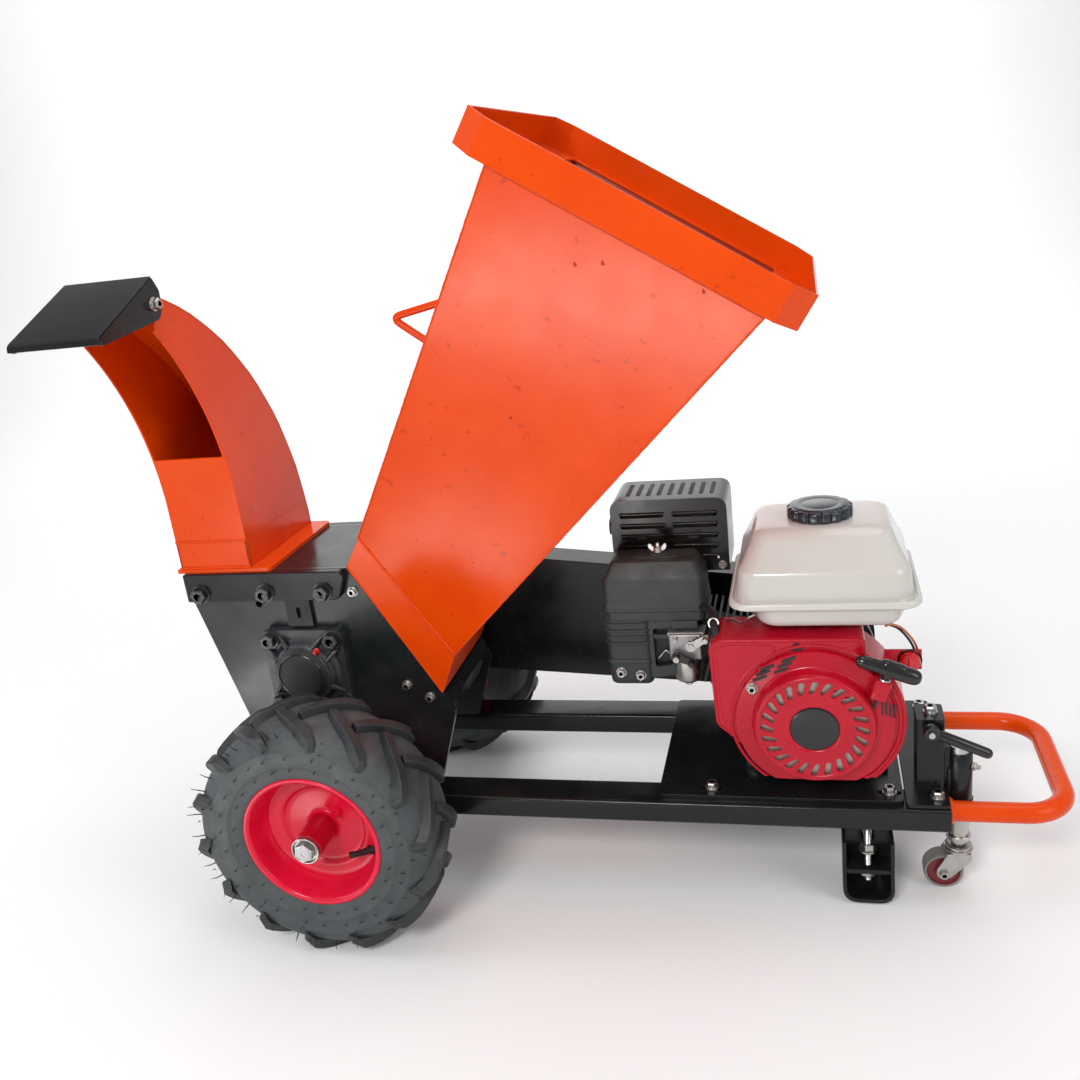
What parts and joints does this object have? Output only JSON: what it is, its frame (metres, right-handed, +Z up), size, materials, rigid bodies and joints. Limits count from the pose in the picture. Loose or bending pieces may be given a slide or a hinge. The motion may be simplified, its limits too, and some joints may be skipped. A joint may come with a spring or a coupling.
{
  "type": "wood chipper",
  "caption": "Towable petrol wood chipper: two-rail frame on pneumatic wheels, belt-driven drum chamber, sloping feed hopper and curved discharge chute with a hinged deflector.",
  "frame": {"origin": "on the ground, at the middle of the machine's outer box", "axes": "+Z up, +X along the frame towards the tow loop, -Y on the side the chute throws to"},
  "size_m": [1.1398, 0.6108, 0.979],
  "materials": {
    "black_paint": "gloss",
    "orange_paint": "gloss",
    "crimson_paint": "gloss",
    "zinc_plate": "bright zinc",
    "tool_steel": "ground",
    "cast_iron": "rough cast, painted",
    "tyre_rubber": "moulded",
    "cast_aluminium": "as cast",
    "black_plastic": "fine grain",
    "white_paint": "gloss",
    "belt_rubber": "matte",
    "caster_red": "moulded",
    "bare_steel": "heat stained",
    "red_plastic": "moulded"
  },
  "bodies": {
    "chassis": {"rail_near": "black_paint", "rail_far": "black_paint", "cross_member": "black_paint", "engine_plate": "black_paint", "end_plate": "black_paint", "tow_loop": "orange_paint", "jockey_bracket": "black_paint", "stand_stud": "zinc_plate", "axle_beam": "black_paint", "axle_nuts": "zinc_plate", "side_plate_near": "black_paint", "side_plate_far": "black_paint", "chamber_shell": "black_paint", "top_bars": "black_paint", "anvil": "tool_steel", "bearing_units": "cast_iron", "chamber_bolts": "zinc_plate", "drive_belts": "belt_rubber", "belt_guard": "black_paint", "hopper_neck": "orange_paint", "hopper_funnel": "orange_paint", "hopper_rim": "orange_paint", "hopper_handle": "orange_paint", "chute_collar": "orange_paint", "chute": "orange_paint", "deflector_pins": "zinc_plate", "crankcase": "cast_aluminium", "engine_barrel": "cast_aluminium", "fan_shroud": "crimson_paint", "recoil_cover": "crimson_paint", "fuel_tank": "white_paint", "air_cleaner_base": "black_plastic", "air_cleaner_cover": "black_plastic", "carburettor": "cast_aluminium", "muffler": "bare_steel", "muffler_guard": "black_paint", "frame_bolts": "zinc_plate"},
    "wheel_near": {"tyre_near": "tyre_rubber", "rim_near": "crimson_paint"},
    "wheel_far": {"tyre_far": "tyre_rubber", "rim_far": "crimson_paint"},
    "rotor": {"rotor_drum": "cast_iron", "rotor_knives": "tool_steel", "rotor_shaft": "tool_steel", "rotor_pulley": "cast_iron"},
    "crank": {"crankshaft": "tool_steel", "flywheel": "cast_iron", "engine_pulley": "cast_iron"},
    "jockey": {"jockey_post": "zinc_plate"},
    "fork": {"caster_fork": "zinc_plate"},
    "caster": {"caster_wheel": "caster_red"},
    "clamp_lever": {"jockey_lever": "black_paint"},
    "foot": {"stand_foot": "black_paint"},
    "deflector_cap": {"deflector": "black_paint"},
    "grip": {"recoil_grip": "black_plastic"},
    "filler_cap": {"tank_cap": "black_plastic"},
    "cleaner_nut": {"wing_nut": "zinc_plate"},
    "throttle": {"throttle_lever": "black_plastic"},
    "choke": {"choke_lever": "black_plastic"},
    "stop_switch": {"engine_switch": "red_plastic"}
  },
  "joints": [
    {"name": "wheel_near_spin", "type": "hinge", "parent": "chassis", "child": "wheel_near", "pos_m": [-0.338, -0.238, 0.165], "axis": [0, 1, 0], "continuous": true},
    {"name": "wheel_far_spin", "type": "hinge", "parent": "chassis", "child": "wheel_far", "pos_m": [-0.338, 0.238, 0.165], "axis": [0, 1, 0], "continuous": true},
    {"name": "rotor_spin", "type": "hinge", "parent": "chassis", "child": "rotor", "pos_m": [-0.396, 0, 0.313], "axis": [0, 1, 0], "continuous": true},
    {"name": "crank_spin", "type": "hinge", "parent": "chassis", "child": "crank", "pos_m": [0.267, 0, 0.253], "axis": [0, 1, 0], "continuous": true},
    {"name": "jockey_slide", "type": "slide", "parent": "chassis", "child": "jockey", "axis": [0, 0, 1], "range_m": [0, 0.045]},
    {"name": "caster_swivel", "type": "hinge", "parent": "jockey", "child": "fork", "pos_m": [0.4362, -0.081, 0.057], "axis": [0, 0, 1], "continuous": true},
    {"name": "caster_spin", "type": "hinge", "parent": "fork", "child": "caster", "pos_m": [0.4182, -0.081, 0.024], "axis": [0, 1, 0], "continuous": true},
    {"name": "clamp_lever_turn", "type": "hinge", "parent": "chassis", "child": "clamp_lever", "pos_m": [0.4, -0.113, 0.236], "axis": [0, 1, 0], "range_deg": [-95, 0]},
    {"name": "foot_slide", "type": "slide", "parent": "chassis", "child": "foot", "axis": [0, 0, 1], "range_m": [0, 0.016]},
    {"name": "deflector_hinge", "type": "hinge", "parent": "chassis", "child": "deflector_cap", "pos_m": [-0.508, -0.184, 0.818], "axis": [1, 0, 0], "range_deg": [-50, 30]},
    {"name": "recoil_pull", "type": "slide", "parent": "chassis", "child": "grip", "axis": [0.3322, 0, 0.9432], "range_m": [0, 0.045], "stiffness_N_per_m": 150, "springref_m": -0.06},
    {"name": "filler_cap_turn", "type": "hinge", "parent": "chassis", "child": "filler_cap", "pos_m": [0.281, -0.018, 0.4793], "axis": [0, 0, 1], "range_deg": [0, 90]},
    {"name": "cleaner_nut_turn", "type": "hinge", "parent": "chassis", "child": "cleaner_nut", "pos_m": [0.077, 0, 0.4303], "axis": [0, 0, 1], "continuous": true},
    {"name": "throttle_turn", "type": "hinge", "parent": "chassis", "child": "throttle", "pos_m": [0.118, -0.0575, 0.322], "axis": [0, 1, 0], "range_deg": [-25, 25]},
    {"name": "choke_turn", "type": "hinge", "parent": "chassis", "child": "choke", "pos_m": [0.098, -0.0515, 0.304], "axis": [0, 1, 0], "range_deg": [-20, 30]},
    {"name": "stop_switch_turn", "type": "hinge", "parent": "chassis", "child": "stop_switch", "pos_m": [0.381, -0.0643, 0.303], "axis": [0, 1, 0], "range_deg": [0, 35]}
  ],
  "couplings": [
    {"joint": "crank_spin", "follows": "rotor_spin", "ratio": 1.5}
  ]
}
